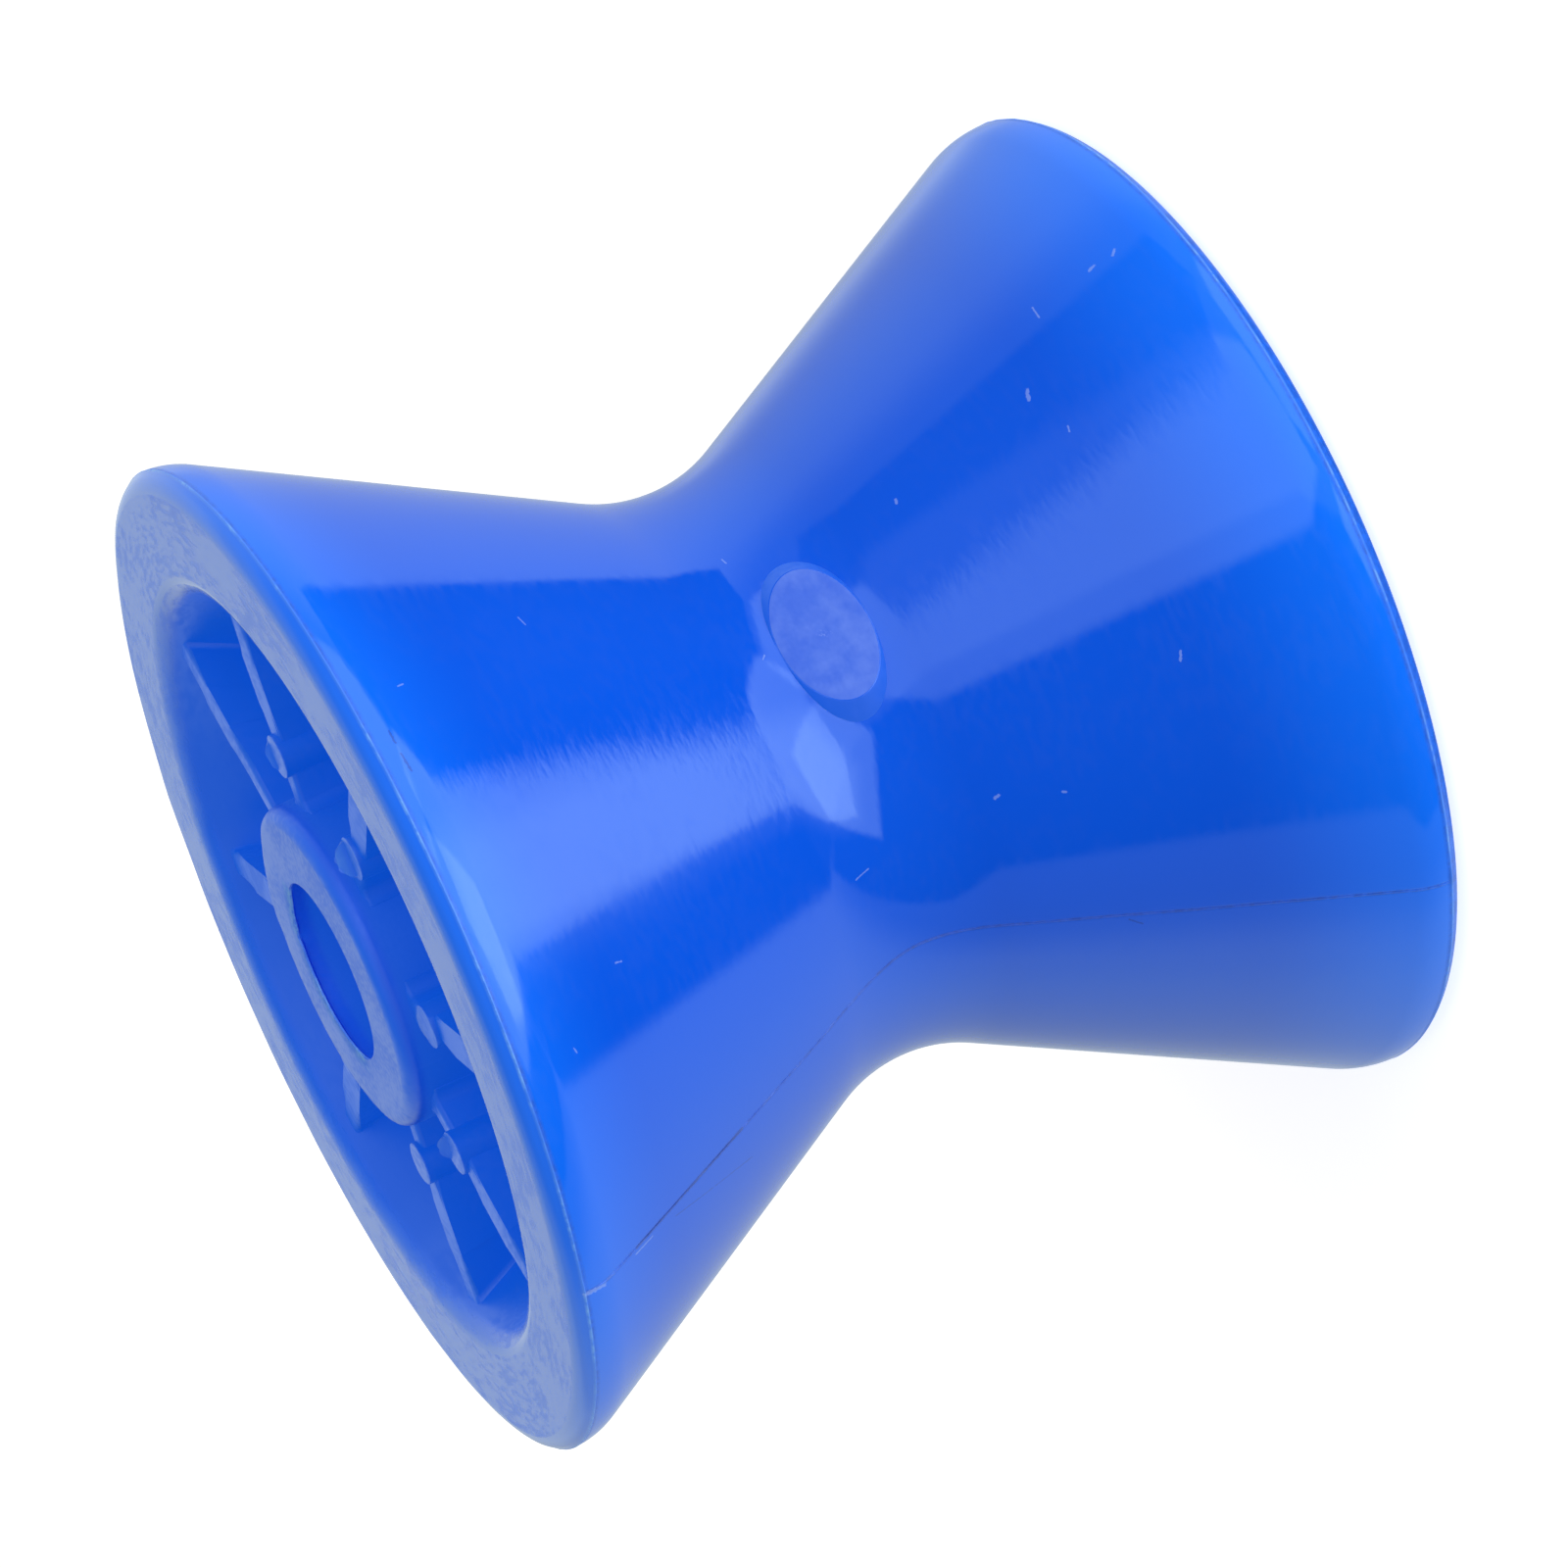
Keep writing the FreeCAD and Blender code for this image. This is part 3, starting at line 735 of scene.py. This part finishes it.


# Masks on the mesh that the finish reads, in mm: pale flash, and painted shade along the seams, beside the
# rims' flash and on the far end's corner
marks = {
    "seamFade": (0.07, 0.24),       # from the seam's middle
    "rimFade": (0.03, 0.16),        # from the flash round the rims
    "lipFade": (0.1, 0.32),         # from the skin at the bore's mouth
    "crestFade": (0.0, 0.35),       # from the top of the flash on the pads
    "rimShare": 0.8,                # strength of each mask, where it isn't one
    "crestShare": 0.5,
    "farShadeShare": 0.9,
    "skinDepth": 3.0,               # from the cavity's wall to anything that counts as the outer skin
    "skinLeast": 20.0,              # and that skin's least radius
    "ridge": 0.05,                  # where the rims' flash stands, out and beside the parting line
    "under": (0.2, 0.22),           # painted shadow beside it: in from the rim, down from the parting line
    "farCornerShade": (1.9, 0.03),        # painted dark reflection, the same way on the far end's corner, beyond the parting line
    "lipBand": 0.3,                 # how far the bore's skin reaches, in and down
    "padRing": (14.0, 21.0),        # radii between which the pads stand
    "away": 9.0,                    # stands for a place with no flash near
}

# Where the finishes change, in mm, and how squarely a face has to look along an axis
zones = {
    "cavity": (1.0, 0.6),           # below the cavity's floor, into its wall
    "end": (1.6, 0.995),            # in from the rim, squareness
    "bore": 0.2,                    # into the bore's wall
    "land": (0.02, 0.03, 0.985),    # past the land's edge, off its face, squareness
    "landSide": (7.5, 0.85),        # from the land's middle, most squareness
    "skinLeast": 22.0,              # least radius of a face with a stroke on it
}
finishOrder = ("polishedSkin", "mattEnd", "mattGate", "scuffedSkin")
polishedSlot, mattSlot, gateSlot, scuffedSlot = range(len(finishOrder))


def smooth(low, high, value):
    t = max(0.0, min(1.0, (value - low) / (high - low)))
    return t * t * (3 - 2 * t)


def markVerts(mesh):
    flash = mesh.attributes.new("flash", "FLOAT", "POINT")
    paintedShade = mesh.attributes.new("paintedShade", "FLOAT", "POINT")
    rim = form["rimRadius"]
    underIn, underDown = marks["under"]
    farIn, farBeyond = marks["farCornerShade"]
    padIn, padOut = marks["padRing"]
    for vert in mesh.vertices:
        x, y, z = vert.co
        radius = hypot(x, y)
        height = abs(z)
        turn = degrees(atan2(y, x))
        outer = radius - wallRadius(height) > marks["skinDepth"] or height < floorZ - marks["skinDepth"]
        # painted shade along the seam line, and the painted shadow beside the rims' flash
        if outer and radius > marks["skinLeast"] and height < partingZ - marks["ridge"]:
            arc = abs(turn - driftAt(z)) if abs(turn) < 90 else 180 - abs(turn)
            line = 1 - smooth(*marks["seamFade"], radians(arc) * radius)
            under = radius > rim - underIn and height > partingZ - underDown
            paintedShade.data[vert.index].value = 1.0 if under else line
        # painted dark reflection on the far end's corner
        if z < -partingZ - farBeyond and radius > rim - farIn:
            paintedShade.data[vert.index].value = marks["farShadeShare"]
        ridge = abs(radius - rim - marks["ridge"]) + abs(height - partingZ)
        lip = crest = marks["away"]
        if height > hubTop - marks["lipBand"]:
            lip = abs(radius - form["boreRadius"] + marks["lipBand"])
        if padIn <= radius <= padOut:
            crest = ribTop + pad["stand"] + marks["crestFade"][1] - height
        flash.data[vert.index].value = max(
            marks["rimShare"] - marks["rimShare"] * smooth(*marks["rimFade"], ridge),
            1 - smooth(*marks["lipFade"], lip),
            marks["crestShare"] - marks["crestShare"] * smooth(*marks["crestFade"], crest))


def sortFaces(mesh):
    # The finish that each face takes
    toGate = Matrix.Rotation(radians(gate["turn"]), 3, "Z")
    outwards, landMiddle = (toGate @ vector for vector in landAxes())
    belowFloor, intoWall = zones["cavity"]
    endIn, endSquare = zones["end"]
    landOut, landOff, landSquare = zones["land"]
    sideReach, sideSquare = zones["landSide"]
    for face in mesh.polygons:
        centre = face.center
        radius = hypot(centre.x, centre.y)
        height = abs(centre.z)
        beside = centre - landMiddle
        square = face.normal.dot(outwards)
        inCavity = height > floorZ - belowFloor and radius < wallRadius(height) + intoWall
        onEnd = height > floorZ and radius < form["rimRadius"] - endIn and abs(face.normal.z) > endSquare
        inBore = height < hubTop and radius < form["boreRadius"] + zones["bore"]
        onSide = beside.length < sideReach and square < sideSquare
        onLevel = abs(beside.dot(outwards)) < landOff and square > landSquare
        if onLevel and beside.length < gate["long"] + landOut:
            face.material_index = gateSlot
        elif inCavity or onEnd or inBore or onSide:
            face.material_index = mattSlot
        elif radius > zones["skinLeast"] and nearStroke(centre):
            face.material_index = scuffedSlot
        else:
            face.material_index = polishedSlot


meshing = {
    "weld": 1e-4,
    "slitWeld": 0.5,          # closes the slits that the joining leaves
    "sharpAngle": 32.0,       # degrees
}


def finishMesh(piece):
    mesh = piece.data
    mesh.materials.clear()      # the joined pieces' empty slots
    bm = bmesh.new()
    bm.from_mesh(mesh)
    bmesh.ops.triangulate(bm, faces=[face for face in bm.faces if len(face.verts) > 4])
    bmesh.ops.remove_doubles(bm, verts=bm.verts, dist=meshing["weld"])
    bmesh.ops.dissolve_degenerate(bm, edges=bm.edges, dist=meshing["weld"])
    slits = {vert for edge in bm.edges if edge.is_boundary for vert in edge.verts}
    bmesh.ops.remove_doubles(bm, verts=list(slits), dist=meshing["slitWeld"])
    bmesh.ops.delete(bm, geom=[edge for edge in bm.edges if edge.is_wire], context="EDGES")
    bmesh.ops.recalc_face_normals(bm, faces=bm.faces)
    gaps = sum(1 for edge in bm.edges if edge.is_boundary or edge.is_wire)
    print("finished mesh:", len(bm.verts), "vertices,", gaps, "open edges")
    bm.to_mesh(mesh)
    bm.free()
    markVerts(mesh)
    sortFaces(mesh)
    mesh.transform(Matrix.Scale(mm, 4))
    mesh.shade_smooth()
    mesh.set_sharp_from_angle(angle=radians(meshing["sharpAngle"]))
    flat = piece.modifiers.new("flatNormals", "WEIGHTED_NORMAL")
    flat.keep_sharp = True


finishMesh(moulding)


# Finishes: what they all share, with each noise as cycles a metre, detail and roughness
blend = {
    "slow": (55.0, 1.0),            # waves of the mould's wall
    "marks": (1900.0, 1.0, 0.6),    # its polishing marks
    "markSquash": 0.012,            # metres to a radian for them, few enough to stretch them round the axis
    "grain": (2600.0, 0.0),
    "haze": (130.0, 3.0, 0.6),
    "hazeSpan": (0.12, 0.42),
    "speckle": (1300.0, 2.0, 0.7),  # breaks up seams and flash
    "speckleSpan": (0.35, 0.65),
    "patch": (190.0, 1.0),
    "patchSpan": (0.42, 0.62),
    "wobble": (5200.0, 1.0),        # unevenness of a stroke's edge, and how far that moves it
    "wobbleShare": (0.9, -0.45),
    "strokeSpan": (0.3, 0.6),
    "hairTurns": (0.4, 1.9),        # radians, directions of the hairline scratches
    "hairStretch": 0.16,
    "hairLeast": 0.55,              # share of them left out
    "nearHold": (-0.005, 0.005, 0.0, 0.004),    # heights, then metres by which the thin wall's painted light starts later
    "shadeShare": (0.26, 0.17),      # colour of the seam's painted shade, broken up and even
    "flashShare": (0.6, 0.22),      # colour of the flash, the same way
    "scuffShare": 0.28,
    "shadeAndNickShare": 0.5,
    "edgeRough": 0.25,              # roughness that flash and seams add
    "innerRough": 0.22,             # that the cavities add
    "innerSpan": (0.0370, 0.0360),  # height at which the cavities start
    "hubSpan": (0.0150, 0.0135),    # radius at which the hub starts
    "bumpHeight": 0.0004,
}


def newGroup(name, inputs, outputs):
    tree = bpy.data.node_groups.new(name, "ShaderNodeTree")
    for label, kind, default in inputs:
        socket = tree.interface.new_socket(name=label, in_out="INPUT", socket_type=kind)
        if default is not None:
            socket.default_value = default
    for label, kind in outputs:
        tree.interface.new_socket(name=label, in_out="OUTPUT", socket_type=kind)
    entry = addNode(tree, "NodeGroupInput")
    leave = addNode(tree, "NodeGroupOutput")
    return tree, entry.outputs, leave.inputs


def addNoise(tree, vector, scale, detail, roughness=0.5):
    node = addNode(tree, "ShaderNodeTexNoise")
    for label, value in (("Vector", vector), ("Scale", scale), ("Detail", detail), ("Roughness", roughness)):
        feed(tree, node.inputs[label], value)
    return node.outputs[0]


def turnedSpace(tree, point):
    # Object coordinates unrolled round the axis: angle, height, radius
    parts = addNode(tree, "ShaderNodeSeparateXYZ")
    feed(tree, parts.inputs[0], point)
    x, y, z = parts.outputs
    radius = doMath(tree, "SQRT", doMath(tree, "MULTIPLY_ADD", x, x, doMath(tree, "MULTIPLY", y, y)))
    turn = doMath(tree, "ARCTAN2", y, x)
    return turn, z, radius


def joinXYZ(tree, x, y, z):
    node = addNode(tree, "ShaderNodeCombineXYZ")
    for socket, value in zip(node.inputs, (x, y, z)):
        feed(tree, socket, value)
    return node.outputs[0]


def mouldWaves():
    # Slow waves of the mould's wall and the short marks its polishing left round the axis
    tree, given, out = newGroup("mouldWaves", (
        ("Point", "NodeSocketVector", None),
        ("Wave", "NodeSocketFloat", 1.0),
        ("Polish", "NodeSocketFloat", 1.0),
        ("Grain", "NodeSocketFloat", 1.0)), (("Height", "NodeSocketFloat"), ("Haze", "NodeSocketFloat")))
    turn, z, radius = turnedSpace(tree, given["Point"])
    around = joinXYZ(tree, doMath(tree, "MULTIPLY", turn, blend["markSquash"]), z, radius)
    slow = addNoise(tree, given["Point"], *blend["slow"])
    polish = addNoise(tree, around, *blend["marks"])
    grain = addNoise(tree, given["Point"], *blend["grain"])
    height = doMath(tree, "MULTIPLY", slow, given["Wave"])
    height = doMath(tree, "MULTIPLY_ADD", polish, given["Polish"], height)
    height = doMath(tree, "MULTIPLY_ADD", grain, given["Grain"], height)
    feed(tree, out["Height"], height)
    haze = doMath(tree, "MULTIPLY", addNoise(tree, given["Point"], *blend["haze"]), polish)
    feed(tree, out["Haze"], ramp(tree, haze, *blend["hazeSpan"]))
    return tree


def fineScratches():
    # Sparse hairline scratches in random directions
    tree, given, out = newGroup("fineScratches", (
        ("Point", "NodeSocketVector", None),
        ("Spread", "NodeSocketFloat", 90.0),
        ("Width", "NodeSocketFloat", 0.02)), (("Mask", "NodeSocketFloat"),))
    total = None
    for turn in blend["hairTurns"]:
        mapping = addNode(tree, "ShaderNodeMapping")
        feed(tree, mapping.inputs["Vector"], given["Point"])
        mapping.inputs["Rotation"].default_value = (turn, 0.7 * turn, 1.3 * turn)
        mapping.inputs["Scale"].default_value = (1.0, 1.0, blend["hairStretch"])
        cells = addNode(tree, "ShaderNodeTexVoronoi", feature="F1")
        feed(tree, cells.inputs["Vector"], mapping.outputs[0])
        feed(tree, cells.inputs["Scale"], given["Spread"])
        keep = addNode(tree, "ShaderNodeTexWhiteNoise", noise_dimensions="3D")
        feed(tree, keep.inputs["Vector"], cells.outputs["Position"])
        line = ramp(tree, cells.outputs["Distance"], 0.0, given["Width"], 1.0, 0.0)
        kept = doMath(tree, "GREATER_THAN", keep.outputs["Value"], blend["hairLeast"])
        line = doMath(tree, "MULTIPLY", line, kept)
        total = line if total is None else doMath(tree, "MAXIMUM", total, line)
    feed(tree, out["Mask"], total)
    return tree


def strokeMark():
    # A short stroke between two points, with an uneven edge
    tree, given, out = newGroup("strokeMark", (
        ("Point", "NodeSocketVector", None),
        ("Wobble", "NodeSocketFloat", 0.5),
        ("From", "NodeSocketVector", None),
        ("To", "NodeSocketVector", None),
        ("Width", "NodeSocketFloat", 0.0002)), (("Mask", "NodeSocketFloat"),))

    def vectorMath(operation, first, second=None):
        node = addNode(tree, "ShaderNodeVectorMath", operation=operation)
        feed(tree, node.inputs[0], first)
        feed(tree, node.inputs[3 if operation == "SCALE" else 1], second)
        return node.outputs["Value" if operation in ("DOT_PRODUCT", "LENGTH") else "Vector"]

    along = vectorMath("SUBTRACT", given["To"], given["From"])
    here = vectorMath("SUBTRACT", given["Point"], given["From"])
    part = doMath(tree, "DIVIDE", vectorMath("DOT_PRODUCT", here, along),
                  vectorMath("DOT_PRODUCT", along, along), clamp=True)
    off = vectorMath("LENGTH", vectorMath("SUBTRACT", here, vectorMath("SCALE", along, part)))
    off = doMath(tree, "DIVIDE", off, given["Width"])
    off = doMath(tree, "ADD", off, doMath(tree, "MULTIPLY_ADD", given["Wobble"], *blend["wobbleShare"]))
    feed(tree, out["Mask"], ramp(tree, off, *blend["strokeSpan"], 1.0, 0.0))
    return tree


def thinWallPaintedLight():
    # Painted light: the base colour is lighter and greener where the wall is thin, at the rims and in the
    # cavities, standing in for light that the faintly clear plastic lets through; noise clouds vary the tone
    tree, given, out = newGroup("thinWallPaintedLight", (
        ("Point", "NodeSocketVector", None),
        ("Core", "NodeSocketColor", (0, 0, 0, 1)),
        ("Thin", "NodeSocketColor", (0, 0, 0, 1)),
        ("Start", "NodeSocketFloat", 0.026),
        ("End", "NodeSocketFloat", 0.037),
        ("Cloud", "NodeSocketFloat", 0.1),
        ("Spacing", "NodeSocketFloat", 38.0)), (("Color", "NodeSocketColor"),))
    _, z, _ = turnedSpace(tree, given["Point"])
    cloud = addNoise(tree, given["Point"], given["Spacing"], 3.0, 0.6)
    reach = doMath(tree, "SUBTRACT", doMath(tree, "ABSOLUTE", z), ramp(tree, z, *blend["nearHold"]))
    edge = ramp(tree, reach, given["Start"], given["End"])
    cloud = doMath(tree, "SUBTRACT", cloud, 0.5)
    amount = doMath(tree, "MULTIPLY_ADD", cloud, given["Cloud"], edge, clamp=True)
    feed(tree, out["Color"], mixColour(tree, amount, given["Core"], given["Thin"]))
    return tree


wavesGroup = mouldWaves()
scratchGroup = fineScratches()
thinGroup = thinWallPaintedLight()
strokeGroup = strokeMark()


def useGroup(tree, group, **values):
    node = addNode(tree, "ShaderNodeGroup", node_tree=group)
    for label, value in values.items():
        feed(tree, node.inputs[label], value)
    return node.outputs


# thin: the lighter colour painted on skin and end where thin walls let light through (a mottled pale tone on
# the land); inner and glow: darker base and painted glow in the cavities
finishes = {
    "polishedSkin": {
        "core": (0.0022, 0.080, 0.640, 1), "thin": (0.0040, 0.150, 0.900, 1),
        "start": 0.022, "end": 0.0375, "cloud": 0.14, "spacing": 38.0, "roughness": (0.045, 0.12),
        "wave": 0.20, "polish": 0.017, "grain": 0.002, "bump": 0.6, "scratch": 0.12,
        "scuffs": (), "shadeStrokesAndNicks": (), "inner": (0, 0, 0, 1), "glow": (0, 0, 0, 1), "hub": 0.0,
    },
    "mattEnd": {
        "core": (0.0040, 0.070, 0.620, 1), "thin": (0.0050, 0.135, 0.870, 1),
        "start": 0.020, "end": 0.036, "cloud": 0.20, "spacing": 60.0, "roughness": (0.18, 0.32),
        "wave": 0.20, "polish": 0.010, "grain": 0.010, "bump": 0.6, "scratch": 0.03,
        "scuffs": (), "shadeStrokesAndNicks": (), "inner": (0.0015, 0.055, 0.430, 1),
        "glow": (0.001, 0.050, 0.290, 1), "hub": 0.15,
    },
    "mattGate": {
        "core": (0.018, 0.095, 0.600, 1), "thin": (0.080, 0.170, 0.660, 1),
        "start": -0.012, "end": 0.03, "cloud": 2.2, "spacing": 420.0, "roughness": (0.40, 0.60),
        "wave": 0.10, "polish": 0.02, "grain": 0.080, "bump": 0.7, "scratch": 0.4,
        "scuffs": ((63.9, -1.3, 63.2, -1.7, 0.9),), "shadeStrokesAndNicks": (), "inner": (0, 0, 0, 1),
        "glow": (0, 0, 0, 1), "hub": 0.0,
    },
}
finishes["scuffedSkin"] = dict(finishes["polishedSkin"], scuffs=scuffs, shadeStrokesAndNicks=shadeStrokesAndNicks)
flashColour = (0.22, 0.50, 0.86, 1)
# Painted shade along the seams, beside the rims' flash and on the far corner; also the colour of the dark
# strokes
shadeAndNickColour = (0.0015, 0.012, 0.16, 1)
scratchColour = (0.16, 0.30, 0.80, 1)
scuffColour = (0.42, 0.55, 0.85, 1)


def strokeMasks(tree, point, wobble, strokes):
    # The strongest of several strokes at each point
    mask = None
    for fromTurn, fromZ, toTurn, toZ, width in strokes:
        one = useGroup(tree, strokeGroup, Point=point, Wobble=wobble, From=skinPoint(fromTurn, fromZ),
                       To=skinPoint(toTurn, toZ), Width=width * mm)["Mask"]
        mask = one if mask is None else doMath(tree, "MAXIMUM", mask, one)
    return mask


def makeFinish(name, look):
    material = bpy.data.materials.new(name)
    material.use_nodes = True
    tree = material.node_tree
    shader = tree.nodes["Principled BSDF"]
    shader.inputs["IOR"].default_value = 1.5
    point = addNode(tree, "ShaderNodeTexCoord").outputs["Object"]
    waves = useGroup(tree, wavesGroup, Point=point, Wave=look["wave"], Polish=look["polish"],
                     Grain=look["grain"])
    scratches = useGroup(tree, scratchGroup, Point=point)["Mask"]
    colour = useGroup(tree, thinGroup, Point=point, Core=look["core"], Thin=look["thin"], Start=look["start"],
                      End=look["end"], Cloud=look["cloud"], Spacing=look["spacing"])["Color"]
    colour = mixColour(tree, doMath(tree, "MULTIPLY", scratches, look["scratch"]), colour, scratchColour)
    paintedShade = addNode(tree, "ShaderNodeAttribute", attribute_name="paintedShade").outputs["Fac"]
    flash = addNode(tree, "ShaderNodeAttribute", attribute_name="flash").outputs["Fac"]
    broken = ramp(tree, addNoise(tree, point, *blend["speckle"]), *blend["speckleSpan"])
    patches = ramp(tree, addNoise(tree, point, *blend["patch"]), *blend["patchSpan"])
    # painted shade along the seams, beside the rims' flash and on the far corner
    dark = doMath(tree, "MULTIPLY", paintedShade, doMath(tree, "MULTIPLY_ADD", broken, *blend["shadeShare"]))
    colour = mixColour(tree, dark, colour, shadeAndNickColour)
    pale = doMath(tree, "MULTIPLY_ADD", doMath(tree, "MULTIPLY", broken, patches), *blend["flashShare"])
    colour = mixColour(tree, doMath(tree, "MULTIPLY", flash, pale), colour, flashColour)
    wobble = addNoise(tree, point, *blend["wobble"])
    if look["scuffs"]:
        scuffed = strokeMasks(tree, point, wobble, look["scuffs"])
        colour = mixColour(tree, doMath(tree, "MULTIPLY", scuffed, blend["scuffShare"]), colour, scuffColour)
    # dark strokes: painted shade in a crease and along the seam, with nicks and a flow mark
    if look["shadeStrokesAndNicks"]:
        shadeAndNickMask = strokeMasks(tree, point, wobble, look["shadeStrokesAndNicks"])
        colour = mixColour(tree, doMath(tree, "MULTIPLY", shadeAndNickMask, blend["shadeAndNickShare"]), colour, shadeAndNickColour)
    _, height, radius = turnedSpace(tree, point)
    inside = 0.0
    # painted light in the cavities: a darker base colour with an emission glow added
    if look["glow"][2]:
        inside = ramp(tree, doMath(tree, "ABSOLUTE", height), *blend["innerSpan"])
        colour = mixColour(tree, inside, colour, look["inner"])
        # painted glow: emission that stands in for light coming through the walls into the cavities
        feed(tree, shader.inputs["Emission Color"], mixColour(tree, inside, (0, 0, 0, 1), look["glow"]))
        shader.inputs["Emission Strength"].default_value = 1.0
        material.cycles.emission_sampling = "NONE"
    feed(tree, shader.inputs["Base Color"], colour)
    low, high = look["roughness"]
    rough = ramp(tree, waves["Haze"], 0.0, 1.0, low, high)
    rough = doMath(tree, "MULTIPLY_ADD", scratches, look["scratch"], rough)
    rough = doMath(tree, "MULTIPLY_ADD", doMath(tree, "ADD", flash, paintedShade), blend["edgeRough"], rough)
    rough = doMath(tree, "MULTIPLY_ADD", ramp(tree, radius, *blend["hubSpan"]), look["hub"], rough)
    rough = doMath(tree, "MULTIPLY_ADD", inside, blend["innerRough"], rough, clamp=True)
    feed(tree, shader.inputs["Roughness"], rough)
    bump = addNode(tree, "ShaderNodeBump")
    bump.inputs["Strength"].default_value = look["bump"]
    bump.inputs["Distance"].default_value = blend["bumpHeight"]
    feed(tree, bump.inputs["Height"], waves["Height"])
    feed(tree, shader.inputs["Normal"], bump.outputs[0])
    return material


for name in finishOrder:
    moulding.data.materials.append(makeFinish(name, finishes[name]))
print("finishes made")

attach(moulding, "root")
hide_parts("roller")
